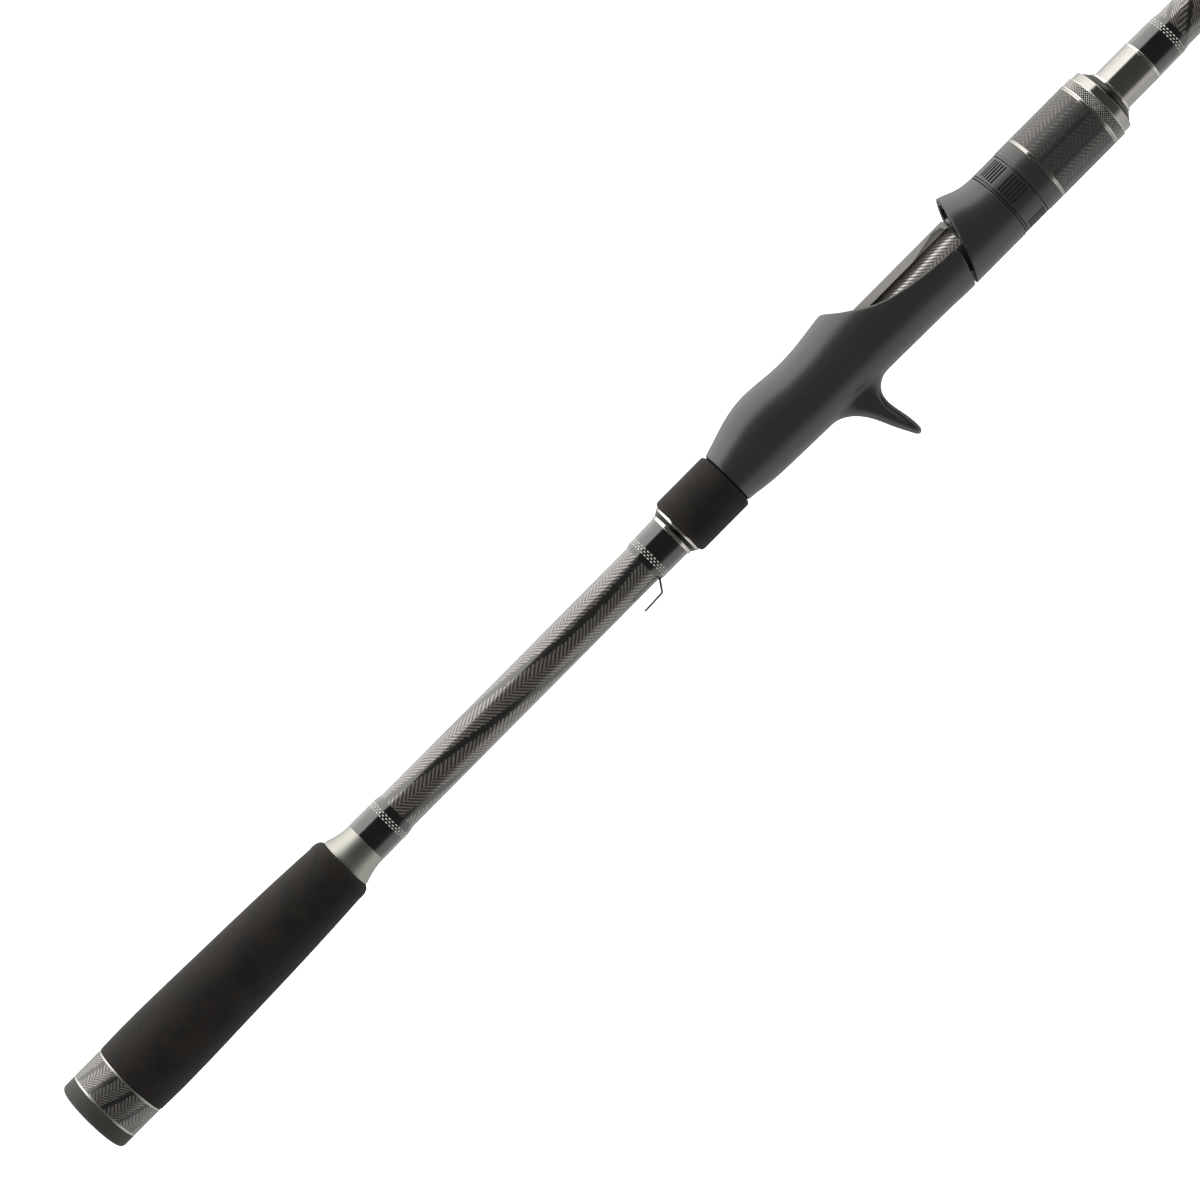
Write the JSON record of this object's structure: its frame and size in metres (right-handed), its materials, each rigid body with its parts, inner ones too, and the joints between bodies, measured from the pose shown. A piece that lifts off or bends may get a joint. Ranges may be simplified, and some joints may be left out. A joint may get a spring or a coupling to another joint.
{
  "type": "casting fishing rod",
  "caption": "Heavy one-piece casting rod: carbon blank, split foam grips, trigger reel seat with a screw-down hood, line guides and tip ring. Its reel seat is empty.",
  "frame": {"origin": "centre of the butt cap's end face", "axes": "+X along the blank to the tip, +Z on the reel's side, so the trigger points to -Z"},
  "size_m": [2.135, 0.0294, 0.0633],
  "materials": {
    "carbon": "clear-coated herringbone carbon tape",
    "carbon_sleeve": "satin herringbone carbon sleeve",
    "rubber": "matte moulded rubber",
    "eva": "sanded closed-cell foam",
    "foam": "rigid foam",
    "bright_trim": "polished",
    "gunmetal": "polished gunmetal anodising",
    "thread_wrap": "thread under clear epoxy",
    "steel_wire": "stainless",
    "seat_plastic": "soft-touch moulding",
    "deck_insert": "satin moulding",
    "guide_metal": "gunmetal plating",
    "ceramic": "polished ceramic"
  },
  "bodies": {
    "root": {"blank": "carbon", "butt_cap": "rubber", "butt_trim_ring_rear": "bright_trim", "butt_sleeve": "carbon_sleeve", "butt_sleeve_core": "foam", "butt_trim_ring_front": "bright_trim", "rear_grip": "eva", "rear_winding_check": "gunmetal", "rear_wrap": "thread_wrap", "seat_rear_wrap": "thread_wrap", "hook_keeper": "steel_wire", "seat_check_ring_rear": "bright_trim", "seat_check_cone": "gunmetal", "seat_check_ring_front": "bright_trim", "seat_rear_grip": "eva", "reel_seat_body": "seat_plastic", "reel_deck": "deck_insert", "fixed_hood_liner": "steel_wire", "seat_arbor_rear": "foam", "seat_arbor_front": "foam", "seat_threaded_barrel": "seat_plastic", "fore_tube": "gunmetal", "fore_tube_end_ring": "bright_trim", "front_wrap": "thread_wrap", "guide_frame_1": "guide_metal", "guide_ring_1": "ceramic", "guide_wrap_1": "thread_wrap", "guide_frame_2": "guide_metal", "guide_ring_2": "ceramic", "guide_wrap_2": "thread_wrap", "guide_frame_3": "guide_metal", "guide_ring_3": "ceramic", "guide_wrap_3": "thread_wrap", "guide_frame_4": "guide_metal", "guide_ring_4": "ceramic", "guide_wrap_4": "thread_wrap", "guide_frame_5": "guide_metal", "guide_ring_5": "ceramic", "guide_wrap_5": "thread_wrap", "guide_frame_6": "guide_metal", "guide_ring_6": "ceramic", "guide_wrap_6": "thread_wrap", "guide_frame_7": "guide_metal", "guide_ring_7": "ceramic", "guide_wrap_7": "thread_wrap", "guide_frame_8": "guide_metal", "guide_ring_8": "ceramic", "guide_wrap_8": "thread_wrap", "tip_top_frame": "guide_metal", "tip_top_ring": "ceramic"},
    "hood": {"movable_hood": "seat_plastic", "movable_hood_liner": "steel_wire"},
    "nut": {"locking_nut": "seat_plastic", "nut_collar": "seat_plastic", "nut_trim_ring_rear": "bright_trim", "foregrip_core": "foam", "foregrip_sleeve": "carbon_sleeve", "nut_trim_ring_front": "bright_trim", "knurled_ring": "gunmetal", "nut_end_collar": "gunmetal"}
  },
  "joints": [
    {"name": "hood_slide", "type": "slide", "parent": "root", "child": "hood", "axis": [1, 0, 0], "range_m": [0, 0.0141]},
    {"name": "nut_turn", "type": "hinge", "parent": "hood", "child": "nut", "pos_m": [0.4436, 0, 0], "axis": [1, 0, 0], "range_deg": [0, 2520]}
  ],
  "couplings": [
    {"joint": "hood_slide", "follows": "nut_turn", "m_per_rad": 0.00031831}
  ]
}
